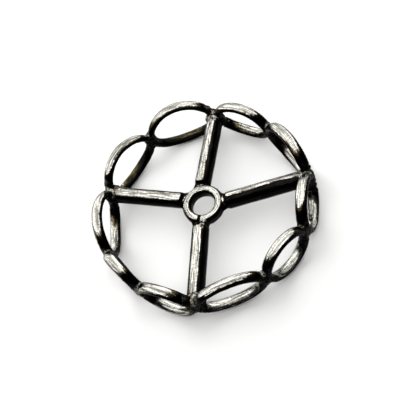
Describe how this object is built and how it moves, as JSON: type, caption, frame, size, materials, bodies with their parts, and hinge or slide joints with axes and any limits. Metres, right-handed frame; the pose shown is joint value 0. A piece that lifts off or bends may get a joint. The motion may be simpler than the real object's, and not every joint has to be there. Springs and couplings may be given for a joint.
{
  "type": "round spacer bead",
  "caption": "Round openwork spacer bead: a bored hub ring, radial spokes and a rim of upright oval wire loops, soldered into one flat wheel.",
  "frame": {"origin": "middle of the hub ring's bore, at half its height", "axes": "+Z along the bore axis and up as the bead lies flat, +Y towards the spoke that points up and away in the picture"},
  "size_m": [0.0223, 0.0226, 0.0058],
  "materials": {
    "silver": "blackened silver, polished bright on the high surfaces"
  },
  "bodies": {
    "root": {"bead_frame": "silver"}
  },
  "joints": []
}
